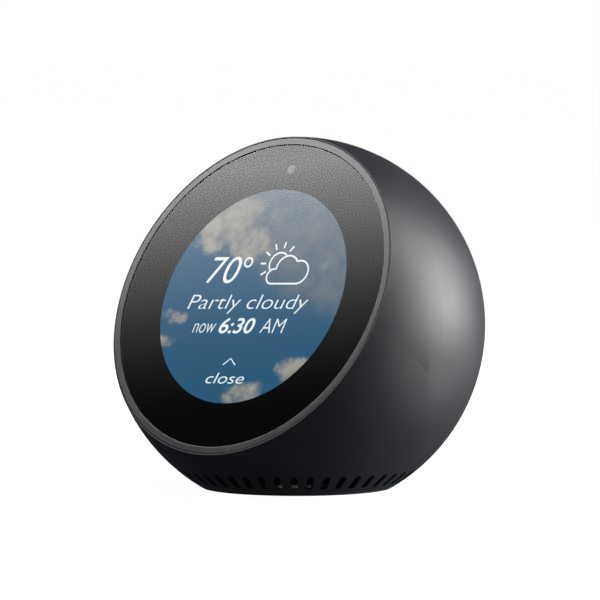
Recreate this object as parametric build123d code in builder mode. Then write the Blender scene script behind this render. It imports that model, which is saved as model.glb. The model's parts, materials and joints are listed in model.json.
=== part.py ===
"""Ball-shaped smart display: a truncated ball housing with a round touch screen in its tilted
front face, three push buttons and four microphone ports on top, two sockets at the back and a
speaker that fires down through a ring of vents round the foot.

Millimetres. The origin is on the table, straight below the centre of the ball. +Z is up, and the
screen faces -Y, tilted back. Depths are measured inwards from the front face; distances are
measured outwards from the centre of the ball.
"""

import os
from math import cos, radians, sin, sqrt

from build123d import *

# ---------------------------------------------------------------- driving dimensions
ball_radius = 52.0
overall_height = 97.0
shell_wall = 2.2
face_tilt = 25.3  # the front face leans back this far from upright, in degrees
rim_radius = 47.2  # where the flat front face cuts the ball
glass_radius = 44.8
button_tilt = 26.0  # the button row sits this far behind the top of the ball, in degrees
port_drop = 30.0  # the sockets point this far below level, in degrees
vent_count = 46

# ---------------------------------------------------------------- worked-out places
centre = Vector(0, 0, overall_height - ball_radius)
inner_radius = ball_radius - shell_wall
face_distance = sqrt(ball_radius**2 - rim_radius**2)
face_normal = Vector(0, -cos(radians(face_tilt)), sin(radians(face_tilt)))
face_up = Vector(0, sin(radians(face_tilt)), cos(radians(face_tilt)))
top_normal = Vector(0, sin(radians(button_tilt)), cos(radians(button_tilt)))
port_normal = Vector(0, cos(radians(port_drop)), -sin(radians(port_drop)))
clear = 0.05  # gap between pieces that only rest against each other


def face_plane(depth):
    """A plane parallel to the front face, facing out of it, at a depth behind it."""
    origin = centre + face_normal * (face_distance - depth)
    return Plane(origin=origin, x_dir=(1, 0, 0), z_dir=face_normal)


def face_back_plane(depth):
    """The same plane, facing inwards."""
    return Plane(origin=face_plane(depth).origin, x_dir=(1, 0, 0), z_dir=-face_normal)


def top_plane(distance):
    """A plane under the button row, facing out of the ball, at a distance from its centre."""
    return Plane(origin=centre + top_normal * distance, x_dir=(1, 0, 0), z_dir=top_normal)


def port_plane(distance):
    """A plane across the sockets' axes, facing out of the ball. Its local y points down."""
    return Plane(origin=centre + port_normal * distance, x_dir=(1, 0, 0), z_dir=port_normal)


def on_face(x, y, depth):
    """The point x across and y up the front face, at a depth behind it."""
    return face_plane(depth).from_local_coords(Vector(x, y, 0))


def screw(shank_radius, head_radius, head_height, length):
    """A pan-head screw with a cross recess. Its head sits on z = 0 and its shank hangs below."""
    with BuildPart() as body:
        Cylinder(head_radius, head_height, align=(Align.CENTER, Align.CENTER, Align.MIN))
        fillet(body.faces().sort_by(Axis.Z)[-1].edges(), head_height * 0.45)
        with BuildSketch(Plane.XY.offset(head_height * 0.45)):
            Rectangle(head_radius * 1.2, head_radius * 0.28)
            Rectangle(head_radius * 0.28, head_radius * 1.2)
        extrude(amount=head_height, mode=Mode.SUBTRACT)
        Cylinder(shank_radius, length, align=(Align.CENTER, Align.CENTER, Align.MAX))
        chamfer(body.faces().sort_by(Axis.Z)[0].edges(), shank_radius * 0.4)
    return body.part


def wire(radius, *points):
    """A round wire with a rounded bend at each point."""
    with BuildPart() as run:
        with BuildLine() as path:
            Polyline(*points)
        with BuildSketch(Plane(origin=path.line @ 0, z_dir=path.line % 0)):
            Circle(radius)
        sweep(transition=Transition.ROUND)
    return run.part


def ribbon(width, *points):
    """A flat flex cable of a given width across X, through points in the YZ plane."""
    thickness = 0.25
    with BuildPart() as run:
        with BuildSketch(Plane.YZ):
            with BuildLine():
                FilletPolyline(*[(p.Y, p.Z) for p in points], radius=1.0)
            trace(line_width=thickness)
        extrude(amount=width / 2, both=True)
    return run.part


# ================================================================ front face stack
# Depths of the layers behind the front face
rebate_depth = 1.6
glass_front = 0.2  # the ring stands this far proud of the glass
glass_back = 1.0
touch_back = 1.15
ring_step = 1.25  # where the ring's glass ledge starts
ring_depth = 3.2
lcd_back = 2.6
backlight_back = 4.7
frame_front = 4.8
frame_back = 6.6
board_front = 11.0
board_back = 12.6
spreader_front = 14.8
spreader_back = 16.0

rebate_radius = 46.9
ring_radius = 46.85
ring_opening = 44.85
ledge_opening = 42.6
ledge_radius = 45.4
lcd_radius = 33.4
frame_radius = 44.0
frame_screw_circle = 40.0
board_screw_circle = 30.0
board_radius = 34.0
camera_height = 37.8  # the camera's place above the middle of the face
cable_slot_height = -39.4

small_screw = screw(0.95, 1.9, 1.25, 7.0)

with BuildPart() as front_ring:
    with BuildSketch(face_plane(rebate_depth - clear)):
        Circle(ring_radius)
        Circle(ring_opening, mode=Mode.SUBTRACT)
    extrude(amount=rebate_depth - clear)
    front_edges = front_ring.faces().sort_by(Axis(centre, face_normal))[-1].edges()
    inner_edge, outer_edge = front_edges.sort_by(SortBy.RADIUS)
    fillet(inner_edge, 0.12)
    fillet(outer_edge, 0.3)
    with BuildSketch(face_plane(ring_depth)):
        Circle(ledge_radius)
        Circle(ledge_opening, mode=Mode.SUBTRACT)
    extrude(amount=ring_depth - ring_step)

with BuildPart() as cover_glass:
    with BuildSketch(face_plane(glass_back)):
        Circle(glass_radius)
    extrude(amount=glass_back - glass_front)
    fillet(cover_glass.faces().sort_by(Axis(centre, face_normal))[-1].edges(), 0.08)

with BuildPart() as glass_adhesive:
    with BuildSketch(face_plane(ring_step)):
        Circle(glass_radius - 0.25)
        Circle(ledge_opening + 0.2, mode=Mode.SUBTRACT)
    extrude(amount=ring_step - glass_back)

with BuildPart() as touch_sensor:
    with BuildSketch(face_plane(touch_back)):
        Circle(lcd_radius + 0.2)
        with Locations((0, -34.5)):
            Rectangle(10, 5)
    extrude(amount=touch_back - glass_back)

with BuildPart() as lcd_panel:
    with BuildSketch(face_plane(lcd_back)):
        Circle(lcd_radius)
        with Locations((0, -33)):
            Rectangle(26, 8)
    extrude(amount=lcd_back - touch_back)

with BuildPart() as backlight_unit:
    with BuildSketch(face_plane(backlight_back)):
        Circle(lcd_radius + 0.6)
        with Locations((0, -33)):
            Rectangle(27, 8.6)
    extrude(amount=backlight_back - lcd_back)

camera_hole = 7.2
camera_body_front = 2.3
barrel_front = 1.1
lens_front = 1.15
lens_back = 1.75
with BuildPart() as display_frame:
    with BuildSketch(face_plane(frame_back)):
        Circle(frame_radius)
    extrude(amount=frame_back - frame_front)
    with BuildSketch(face_plane(frame_front)):  # outer wall that meets the back of the ring
        Circle(frame_radius)
        Circle(ledge_opening, mode=Mode.SUBTRACT)
    extrude(amount=frame_front - ring_depth - clear)
    with BuildSketch(face_plane(frame_front)):  # pocket wall round the display module
        Circle(lcd_radius + 2.5)
        Circle(lcd_radius + 1.0, mode=Mode.SUBTRACT)
        with Locations((0, -34)):
            Rectangle(28.6, 10, mode=Mode.SUBTRACT)
    extrude(amount=frame_front - 3.0)
    with BuildSketch(face_plane(board_front)):  # stand-offs for the main board
        with PolarLocations(board_screw_circle, 4, start_angle=45):
            Circle(2.6)
    extrude(amount=board_front - frame_back)
    with BuildSketch(face_plane(board_front)):
        with PolarLocations(board_screw_circle, 4, start_angle=45):
            Circle(1.0)
    extrude(amount=4.0, mode=Mode.SUBTRACT)
    with BuildSketch(face_plane(frame_back)):
        with PolarLocations(frame_screw_circle, 4, start_angle=45):
            Circle(1.3)
        with Locations((0, camera_height)):
            Rectangle(camera_hole, camera_hole)
        with Locations((0, cable_slot_height)):
            Rectangle(16, 2.4)
    extrude(amount=frame_back - ring_depth + 1, mode=Mode.SUBTRACT)

lens_radius = 1.55
with BuildPart() as camera_module:
    with BuildSketch(face_plane(6.0)):
        with Locations((0, camera_height)):
            RectangleRounded(6.6, 6.6, 0.5)
    extrude(amount=6.0 - camera_body_front)
    with BuildSketch(face_plane(camera_body_front)):
        with Locations((0, camera_height)):
            Circle(2.4)
    extrude(amount=camera_body_front - barrel_front)
    with BuildSketch(face_plane(lens_back + clear)):
        with Locations((0, camera_height)):
            Circle(lens_radius + clear)
    extrude(amount=lens_back + clear - barrel_front, mode=Mode.SUBTRACT)

with BuildPart() as camera_lens:
    with BuildSketch(face_plane(lens_back)):
        with Locations((0, camera_height)):
            Circle(lens_radius)
    extrude(amount=lens_back - lens_front)
    fillet(camera_lens.faces().sort_by(Axis(centre, face_normal))[-1].edges(), 0.3)

with BuildPart() as camera_gasket:
    with BuildSketch(face_plane(camera_body_front)):
        with Locations((0, camera_height)):
            Circle(3.2)
            Circle(2.5, mode=Mode.SUBTRACT)
    extrude(amount=camera_body_front - glass_back)

with BuildPart(face_plane(frame_front)) as frame_screws:
    with PolarLocations(frame_screw_circle, 4, start_angle=45):
        add(small_screw)

# ================================================================ main board and cooling
# Places across and up the board, and heights above its back
processor_spot = (8, 3)
processor_height = 1.2
memory_spots = [(-9.5, 8), (-9.5, -2)]
shield_height = 1.8
radio_spot = (0, -27)
fin_depth = 20.0
fin_spots = [(-24.4, 0), (24.4, 0)]

with BuildPart() as main_board:
    with BuildSketch(face_plane(board_back)):
        Circle(board_radius)
        with PolarLocations(board_screw_circle, 4, start_angle=45):
            Circle(1.2, mode=Mode.SUBTRACT)
        with Locations((0, -board_radius), (0, board_radius)):
            Rectangle(18, 3, mode=Mode.SUBTRACT)
    extrude(amount=board_back - board_front)

with BuildPart() as processor:
    with BuildSketch(face_plane(board_back + processor_height)):
        with Locations(processor_spot):
            Rectangle(14, 14)
    extrude(amount=processor_height)

with BuildPart() as memory_chips:
    with BuildSketch(face_plane(board_back + 1.0)):
        with Locations(*memory_spots):
            Rectangle(11, 8)
    extrude(amount=1.0)

with BuildPart() as shield_frame:
    with BuildSketch(face_plane(board_back + shield_height)):
        with Locations((0, 3)):
            Rectangle(38, 24)
            Rectangle(37, 23, mode=Mode.SUBTRACT)
    extrude(amount=shield_height)

with BuildPart() as radio_module:
    with BuildSketch(face_plane(board_back + 2.0)):
        with Locations(radio_spot):
            RectangleRounded(16, 10, 0.6)
    extrude(amount=2.0)

with BuildPart() as thermal_pad:
    with BuildSketch(face_plane(spreader_front)):
        with Locations(processor_spot):
            Rectangle(13, 13)
    extrude(amount=spreader_front - board_back - processor_height)

with BuildPart() as heat_spreader:
    with BuildSketch(face_plane(spreader_back)):
        RectangleRounded(50, 50, 4)
    extrude(amount=spreader_back - spreader_front)
    with BuildSketch(face_plane(fin_depth)):  # folded side fins
        with Locations(*fin_spots):
            Rectangle(1.2, 34)
    extrude(amount=fin_depth - spreader_back)
    with BuildSketch(face_plane(spreader_front)):  # feet that stand on the board
        with PolarLocations(board_screw_circle, 4, start_angle=45):
            Circle(2.6)
    extrude(amount=spreader_front - board_back)
    with BuildSketch(face_plane(spreader_back)):
        with PolarLocations(board_screw_circle, 4, start_angle=45):
            Circle(1.2)
    extrude(amount=spreader_back - board_back, mode=Mode.SUBTRACT)

board_screw = screw(0.95, 1.9, 1.25, 8.2)
with BuildPart(face_back_plane(spreader_back)) as board_screws:
    with PolarLocations(board_screw_circle, 4, start_angle=45):
        add(board_screw)

connector_height = 1.6
jack_board_top = -5.2  # heights across the sockets' axes, down being positive
jack_board_bottom = -4.0
jack_connector_distance = 36.0
with BuildPart() as board_connectors:
    with BuildSketch(face_plane(board_back + connector_height)):
        with Locations((0, 29)):
            Rectangle(10, 4)
        with Locations((-29.5, 4), (29.5, 4)):
            Rectangle(4, 10)
    extrude(amount=connector_height)
    with BuildSketch(face_plane(board_front)):
        with Locations((0, -26)):
            Rectangle(14, 3.6)
        with Locations((0, 29)):
            Rectangle(6, 3)
    extrude(amount=connector_height)
    with BuildSketch(port_plane(jack_connector_distance - 2)):
        with Locations((0, jack_board_top - 1)):
            Rectangle(9, 2)
    extrude(amount=4)

with BuildPart() as display_cable:
    add(
        ribbon(
            12,
            on_face(0, -37.05, 2.0),
            on_face(0, cable_slot_height, 2.0),
            on_face(0, cable_slot_height, 9.0),
            on_face(0, -33, 10.2),
            on_face(0, -27.85, 10.2),
        )
    )

with BuildPart() as camera_cable:
    add(
        ribbon(
            4,
            on_face(0, camera_height, 6.05),
            on_face(0, camera_height, 8.4),
            on_face(0, 34, 10.2),
            on_face(0, 30.55, 10.2),
        )
    )

with BuildPart() as wifi_antennas:
    with Locations((-48, 14, 56), (48, 14, 56)):
        Box(14, 20, 9)
    with Locations(centre):
        Sphere(inner_radius - clear, mode=Mode.INTERSECT)
        Sphere(inner_radius - 0.5, mode=Mode.SUBTRACT)

# ================================================================ buttons and microphones
button_spots = [(-13, 0), (0, 0), (13, 0)]
mic_spots = [(-19.5, -6), (-6.5, -6), (6.5, -6), (19.5, -6)]
button_screw_spots = [(-19.5, 4.5), (19.5, 4.5)]
cap_radius = 4.2
cap_hole_radius = 4.4
guide_radius = 6.2
guide_end = 46.2
switch_board_top = 43.0
switch_board_thickness = 1.0
switch_top = 44.6
plunger_top = 45.2
flange_top = 46.1
cap_proud = 0.12
symbol_depth = 0.25

with BuildPart() as button_board:
    with BuildSketch(top_plane(switch_board_top - switch_board_thickness)):
        RectangleRounded(45, 15, 3)
        with Locations(*button_screw_spots):
            Circle(1.0, mode=Mode.SUBTRACT)
    extrude(amount=switch_board_thickness)

with BuildPart() as button_switches:
    with BuildSketch(top_plane(switch_board_top)):
        with Locations(*button_spots):
            RectangleRounded(4.5, 4.5, 0.3)
    extrude(amount=switch_top - switch_board_top)
    with BuildSketch(top_plane(switch_top)):
        with Locations(*button_spots):
            Circle(1.3)
    extrude(amount=-1.3, mode=Mode.SUBTRACT)


def plunger(spot):
    """The moving pin of one tactile switch."""
    with BuildPart() as pin:
        with BuildSketch(top_plane(plunger_top - 1.4)):
            with Locations(spot):
                Circle(1.2)
        extrude(amount=1.4)
    return pin


def button_cap(spot, draw_symbol):
    """A round cap that follows the ball's surface, with a flange inside and a cut symbol."""
    with BuildPart() as symbol:
        with BuildSketch(top_plane(guide_end)):
            with Locations(spot):
                draw_symbol()
        extrude(amount=ball_radius)
        with Locations(centre):
            Sphere(ball_radius + cap_proud - symbol_depth, mode=Mode.SUBTRACT)
    with BuildPart() as cap:
        with BuildSketch(top_plane(plunger_top)):
            with Locations(spot):
                Circle(cap_radius)
        extrude(amount=10)
        with Locations(centre):
            Sphere(ball_radius + cap_proud, mode=Mode.INTERSECT)
        top_face = cap.faces().filter_by(GeomType.SPHERE)
        fillet(top_face.edges(), 0.3)
        with BuildSketch(top_plane(plunger_top)):
            with Locations(spot):
                Circle(cap_radius + 1.1)
        extrude(amount=flange_top - plunger_top)
        add(symbol.part, mode=Mode.SUBTRACT)
    return cap


symbol_span = 3.4
symbol_stroke = 0.5


def minus_symbol():
    Rectangle(symbol_span, symbol_stroke)


def plus_symbol():
    Rectangle(symbol_span, symbol_stroke)
    Rectangle(symbol_stroke, symbol_span)


def mute_symbol():
    Circle(symbol_span / 2)
    Circle(symbol_span / 2 - symbol_stroke, mode=Mode.SUBTRACT)
    Rectangle(symbol_span - symbol_stroke, symbol_stroke, rotation=45)


volume_down_plunger = plunger(button_spots[0])
mic_mute_plunger = plunger(button_spots[1])
volume_up_plunger = plunger(button_spots[2])
volume_down_button = button_cap(button_spots[0], minus_symbol)
mic_mute_button = button_cap(button_spots[1], mute_symbol)
volume_up_button = button_cap(button_spots[2], plus_symbol)

with BuildPart() as microphones:
    with BuildSketch(top_plane(switch_board_top)):
        with Locations(*mic_spots):
            Rectangle(3.0, 2.6)
    extrude(amount=1.0)

with BuildPart() as microphone_boots:
    with BuildSketch(top_plane(switch_board_top + 1.0)):
        with Locations(*mic_spots):
            Circle(1.5)
            Circle(0.6, mode=Mode.SUBTRACT)
    extrude(amount=10)
    with Locations(centre):
        Sphere(inner_radius - clear, mode=Mode.INTERSECT)

board_underside = Plane(
    origin=top_plane(switch_board_top - switch_board_thickness).origin,
    x_dir=(1, 0, 0),
    z_dir=-top_normal,
)
with BuildPart(board_underside) as button_board_screws:
    with Locations(*[(x, -y) for x, y in button_screw_spots]):
        add(screw(0.75, 1.5, 1.0, 3.0))

with BuildPart() as button_cable:
    add(
        ribbon(
            6,
            on_face(0, 31.1, 13.4),
            on_face(0, 34, 13.4),
            top_plane(38.5).from_local_coords(Vector(0, -6, 0)),
            top_plane(40.5).from_local_coords(Vector(0, -3, 0)),
            top_plane(41.95).from_local_coords(Vector(0, -3, 0)),
        )
    )

# ================================================================ speaker
speaker_centre = Vector(0, 3, 0)
speaker_axis = Axis(speaker_centre, (0, 0, 1))
speaker_section = Plane(origin=speaker_centre, x_dir=(1, 0, 0), z_dir=(0, -1, 0))
baffle_bottom = 6.2
baffle_top = 8.2
flange_bottom = 8.7
flange_thickness = 1.2
plate_bottom = 16.0  # the magnet's front plate starts here
magnet_bottom = 17.2
magnet_top = 21.0
enclosure_radius = 23.0
enclosure_top = 35.0
enclosure_wall = 2.0
enclosure_front_depth = 19.0
ear_bottom = 12.0
ear_thickness = 2.0
ear_spots = [
    (34 * cos(radians(angle)), 34 * sin(radians(angle))) for angle in (15, 165, 215, 325)
]
post_circle = 19.5
speaker_screw_circle = 18.25


def turned(*profile):
    """A ring turned about the speaker's axis from (radius, height) points."""
    with BuildPart() as ring:
        with BuildSketch(speaker_section):
            with BuildLine():
                Polyline(*profile, close=True)
            make_face()
        revolve(axis=speaker_axis)
    return ring.part


with BuildPart(Plane(origin=speaker_centre)) as basket_windows:
    with PolarLocations(15, 4):
        with Locations((0, 0, 12.45)):
            Box(10, 12, 4.1)

with BuildPart() as speaker_basket:
    add(
        turned(
            (15.7, flange_bottom),
            (19.5, flange_bottom),
            (19.5, flange_bottom + flange_thickness),
            (17.0, flange_bottom + flange_thickness),
            (14.2, plate_bottom),
            (8.6, plate_bottom),
            (8.6, plate_bottom - 1),
            (13.2, plate_bottom - 1),
            (15.7, flange_bottom + flange_thickness),
        )
    )
    add(basket_windows.part, mode=Mode.SUBTRACT)
    add(turned((12.9, 12.2), (14.7, 12.2), (14.4, 12.8), (12.9, 12.8)))
    with BuildSketch(Plane(origin=speaker_centre + Vector(0, 0, flange_bottom))):
        with PolarLocations(speaker_screw_circle, 4, start_angle=45):
            Circle(0.8)
    extrude(amount=flange_thickness, mode=Mode.SUBTRACT)

with BuildPart() as speaker_top_plate:
    add(
        turned(
            (7.1, plate_bottom),
            (11.2, plate_bottom),
            (11.2, magnet_bottom),
            (7.1, magnet_bottom),
        )
    )

with BuildPart() as speaker_magnet:
    add(
        turned(
            (7.9, magnet_bottom),
            (11.2, magnet_bottom),
            (11.2, magnet_top),
            (7.9, magnet_top),
        )
    )

with BuildPart() as speaker_yoke:
    with Locations(speaker_centre + Vector(0, 0, plate_bottom)):
        Cylinder(6.1, magnet_top - plate_bottom, align=(Align.CENTER, Align.CENTER, Align.MIN))
    with Locations(speaker_centre + Vector(0, 0, magnet_top)):
        Cylinder(10.8, 1.4, align=(Align.CENTER, Align.CENTER, Align.MIN))

dust_cap_centre = (0, 25.0)
dust_cap_radius = 15.2
with BuildPart() as speaker_cone:
    with BuildSketch(speaker_section):  # the paper cone with the dust cap that closes its neck
        with BuildLine():
            outside = CenterArc(dust_cap_centre, dust_cap_radius, -90, 25.6)
            inside = CenterArc(dust_cap_centre, dust_cap_radius - 0.3, -90, 25.0)
            Line(outside @ 0, inside @ 0)
            Polyline(outside @ 1, (12.4, 8.5), (12.4, 8.9), (6.95, 11.6), (6.3, 11.6), inside @ 1)
        make_face()
    revolve(axis=speaker_axis)

with BuildPart() as voice_coil:
    add(
        turned(
            (6.35, 11.6),
            (6.55, 11.6),
            (6.55, 15.4),
            (6.85, 15.4),
            (6.85, 18.4),
            (6.55, 18.4),
            (6.55, 19.2),
            (6.35, 19.2),
        )
    )

with BuildPart() as speaker_surround:
    with BuildSketch(speaker_section):
        with BuildLine():
            Polyline((12.5, 8.7), (12.5, 8.45), (13.0, 8.45))
            ThreePointArc((13.0, 8.45), (14.1, 7.35), (15.2, 8.45))
            Polyline((15.2, 8.45), (16.3, 8.45), (16.3, 8.7), (14.95, 8.7))
            ThreePointArc((14.95, 8.7), (14.1, 7.65), (13.25, 8.7))
            Line((13.25, 8.7), (12.5, 8.7))
        make_face()
    revolve(axis=speaker_axis)

spider_waves = 4
spider_pitch = (12.6 - 7.4) / spider_waves
with BuildPart() as speaker_spider:
    with BuildSketch(speaker_section):
        with BuildLine():
            wave = [(6.55, 12.95), (7.4, 12.95)]
            for i in range(spider_waves):
                wave.append((7.4 + (i + 0.25) * spider_pitch, 13.25))
                wave.append((7.4 + (i + 0.75) * spider_pitch, 12.95))
            Polyline(*wave, (14.0, 12.95))
        trace(line_width=0.25)
    revolve(axis=speaker_axis)

with BuildPart() as speaker_gasket:
    with BuildSketch(Plane(origin=speaker_centre + Vector(0, 0, baffle_top))):
        Circle(19.2)
        Circle(16.4, mode=Mode.SUBTRACT)
        with PolarLocations(speaker_screw_circle, 4, start_angle=45):
            Circle(0.8, mode=Mode.SUBTRACT)
    extrude(amount=flange_bottom - baffle_top)

flange_top_plane = Plane(origin=speaker_centre + Vector(0, 0, flange_bottom + flange_thickness))
with BuildPart(flange_top_plane) as speaker_screws:
    with PolarLocations(speaker_screw_circle, 4, start_angle=45):
        add(screw(0.7, 1.2, 0.8, 2.9))

with BuildPart() as enclosure_air:
    with BuildSketch(Plane(origin=speaker_centre + Vector(0, 0, baffle_top))):
        Circle(enclosure_radius - enclosure_wall)
    extrude(amount=enclosure_top - enclosure_wall - baffle_top)
    split(bisect_by=face_plane(enclosure_front_depth + enclosure_wall), keep=Keep.BOTTOM)

cable_hole = (12, 8)
with BuildPart() as speaker_enclosure:
    with BuildSketch(Plane(origin=speaker_centre + Vector(0, 0, baffle_top))):
        Circle(enclosure_radius)
    extrude(amount=enclosure_top - baffle_top)
    split(bisect_by=face_plane(enclosure_front_depth), keep=Keep.BOTTOM)
    with BuildSketch(Plane.XY.offset(ear_bottom)):  # ears that sit on the housing's bosses
        for spot in ear_spots:
            with BuildLine():
                Line((speaker_centre.X, speaker_centre.Y), spot)
            trace(line_width=5.0)
        with Locations(*ear_spots):
            Circle(2.8)
            Circle(1.2, mode=Mode.SUBTRACT)
    extrude(amount=ear_thickness)
    add(enclosure_air.part, mode=Mode.SUBTRACT)
    with BuildSketch(Plane.XY.offset(enclosure_top)):
        with Locations(cable_hole):
            Circle(1.2)
    extrude(amount=-enclosure_wall, mode=Mode.SUBTRACT)

with BuildPart() as speaker_baffle:
    with BuildSketch(Plane(origin=speaker_centre + Vector(0, 0, baffle_bottom))):
        Circle(enclosure_radius + 1.0)
        Circle(15.9, mode=Mode.SUBTRACT)
    extrude(amount=baffle_top - baffle_bottom)
    post_end = 2.85
    with BuildSketch(Plane(origin=speaker_centre + Vector(0, 0, post_end))):
        with PolarLocations(post_circle, 4, start_angle=45):
            Circle(2.4)
    extrude(amount=baffle_bottom - post_end)
    with BuildSketch(Plane(origin=speaker_centre + Vector(0, 0, post_end))):
        with PolarLocations(post_circle, 4, start_angle=45):
            Circle(1.0)
    extrude(amount=4.2, mode=Mode.SUBTRACT)
    with BuildSketch(Plane(origin=speaker_centre + Vector(0, 0, baffle_top))):
        with PolarLocations(speaker_screw_circle, 4, start_angle=45):
            Circle(0.75)
    extrude(amount=-1.5, mode=Mode.SUBTRACT)

with BuildPart(Plane.XY.offset(ear_bottom + ear_thickness)) as enclosure_screws:
    with Locations(*ear_spots):
        add(screw(0.95, 1.9, 1.25, 5.6))

with BuildPart() as speaker_cable:
    add(
        wire(
            0.9,
            (*cable_hole, plate_bottom + clear),
            (*cable_hole, 38),
            (22, 6, 46),
            on_face(29.5, 4, 20),
            on_face(29.5, 4, 14.25),
        )
    )

with BuildPart() as antenna_cables:
    for side in (-1, 1):
        add(
            wire(
                0.55,
                on_face(side * 8.7, -27, 13.7),
                on_face(side * 14, -28, 16.9),
                on_face(side * 34, -14, 24),
                on_face(side * 42.5, 0, 30),
                (side * 47.2, 9.1, 52.1),
            )
        )

# ================================================================ sockets at the back
audio_x = 7.5
power_x = -7.5
audio_nose_radius = 3.0
audio_bore_radius = 1.8
power_nose_radius = 3.75
power_bore_radius = 2.9
power_pin_radius = 1.0
power_pin_tail = 0.7
power_bore_depth = 10.0
recess_floor = 50.4
nose_end = 50.3
body_front = 47.2
body_back = 35.3
jack_screw_x = 14.5
jack_screw_distance = 41.0

with BuildPart(port_plane(39.25)) as jack_board:
    with Locations((0, (jack_board_top + jack_board_bottom) / 2, 0)):
        Box(33, jack_board_bottom - jack_board_top, 10.5)
    jack_board_plane = Plane(
        origin=port_plane(jack_screw_distance).from_local_coords(Vector(0, jack_board_bottom, 0)),
        x_dir=(1, 0, 0),
        z_dir=port_plane(0).y_dir,
    )
    with BuildSketch(jack_board_plane):
        with Locations((-jack_screw_x, 0), (jack_screw_x, 0)):
            Circle(0.9)
    extrude(amount=-2, mode=Mode.SUBTRACT)

with BuildPart() as audio_jack:
    with BuildSketch(port_plane(body_back)):
        with Locations((audio_x, -0.6)):
            RectangleRounded(6.2, 6.8, 0.4)
    extrude(amount=body_front - body_back)
    with BuildSketch(port_plane(body_front)):
        with Locations((audio_x, 0)):
            Circle(audio_nose_radius)
    extrude(amount=nose_end - body_front)
    with BuildSketch(port_plane(nose_end)):
        with Locations((audio_x, 0)):
            Circle(audio_bore_radius)
    extrude(amount=-(nose_end - body_back - 0.5), mode=Mode.SUBTRACT)

with BuildPart() as power_jack:
    with BuildSketch(port_plane(body_back)):
        with Locations((power_x, 0)):
            RectangleRounded(9.0, 8.0, 0.4)
    extrude(amount=body_front - body_back)
    with BuildSketch(port_plane(body_front)):
        with Locations((power_x, 0)):
            Circle(power_nose_radius)
    extrude(amount=nose_end - body_front)
    with BuildSketch(port_plane(nose_end)):
        with Locations((power_x, 0)):
            Circle(power_bore_radius)
    extrude(amount=-power_bore_depth, mode=Mode.SUBTRACT)
    with BuildSketch(port_plane(nose_end - power_bore_depth)):
        with Locations((power_x, 0)):
            Circle(power_pin_tail + 0.02)
    extrude(amount=-1.0, mode=Mode.SUBTRACT)

with BuildPart() as power_jack_pin:
    with BuildSketch(port_plane(nose_end - power_bore_depth)):
        with Locations((power_x, 0)):
            Circle(power_pin_tail)
    extrude(amount=-1.0)
    with BuildSketch(port_plane(nose_end - power_bore_depth)):
        with Locations((power_x, 0)):
            Circle(power_pin_radius)
    extrude(amount=power_bore_depth - 0.5)
    pin_tip = power_jack_pin.faces().sort_by(Axis(centre, port_normal))[-1]
    fillet(pin_tip.edges(), 0.4)

with BuildPart(jack_board_plane) as jack_board_screws:
    with Locations((-jack_screw_x, 0), (jack_screw_x, 0)):
        add(screw(0.75, 1.4, 0.9, 4.4))

with BuildPart() as jack_cable:
    add(
        wire(
            0.9,
            port_plane(33.95).from_local_coords(Vector(-2, jack_board_top - 1, 0)),
            port_plane(31).from_local_coords(Vector(-2, jack_board_top - 1, 0)),
            (-12, 24, 42),
            (-22, 8, 47),
            on_face(-29.5, 4, 20),
            on_face(-29.5, 4, 14.25),
        )
    )

# ================================================================ base
shell_bottom = 0.45
plate_under = 0.7
plate_top = 2.8
plate_radius = 24.3
foot_radius = 26.2

with BuildPart() as base_plate:
    with BuildSketch(Plane.XY.offset(plate_under)):
        Circle(plate_radius)
    extrude(amount=plate_top - plate_under)
    with Locations(speaker_centre + Vector(0, 0, plate_top)):  # spreads the sound outwards
        Cone(13, 1.5, 2.4, align=(Align.CENTER, Align.CENTER, Align.MIN))
    with BuildSketch(Plane(origin=speaker_centre + Vector(0, 0, plate_under))):
        with PolarLocations(post_circle, 4, start_angle=45):
            Circle(1.3)
    extrude(amount=plate_top, mode=Mode.SUBTRACT)
    with BuildSketch(Plane(origin=speaker_centre + Vector(0, 0, plate_under))):
        with PolarLocations(post_circle, 4, start_angle=45):
            Circle(2.1)
    extrude(amount=1.0, mode=Mode.SUBTRACT)

screw_seat = Plane(
    origin=speaker_centre + Vector(0, 0, plate_under + 1.0), x_dir=(1, 0, 0), z_dir=(0, 0, -1)
)
with BuildPart(screw_seat) as base_screws:
    with PolarLocations(post_circle, 4, start_angle=45):
        add(screw(0.95, 1.9, 0.95, 5.0))

with BuildPart() as rubber_foot:
    with BuildSketch(Plane.XY):
        Circle(foot_radius)
    extrude(amount=shell_bottom - clear)
    fillet(rubber_foot.faces().sort_by(Axis.Z)[0].edges(), 0.25)
    with BuildSketch(Plane.XY):
        Circle(plate_radius)
    extrude(amount=plate_under)

# ================================================================ housing
boss_start = frame_back + clear
vent_width = 1.85
vent_bottom = 2.1
vent_top = 5.8
with BuildPart(Plane(origin=(0, -30, vent_bottom))) as vent_cutter:
    Box(vent_width, 14, vent_top - vent_bottom, align=(Align.CENTER, Align.CENTER, Align.MIN))
    fillet(vent_cutter.edges().filter_by(Axis.Y).group_by(Axis.Z)[-1], vent_width * 0.48)

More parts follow.
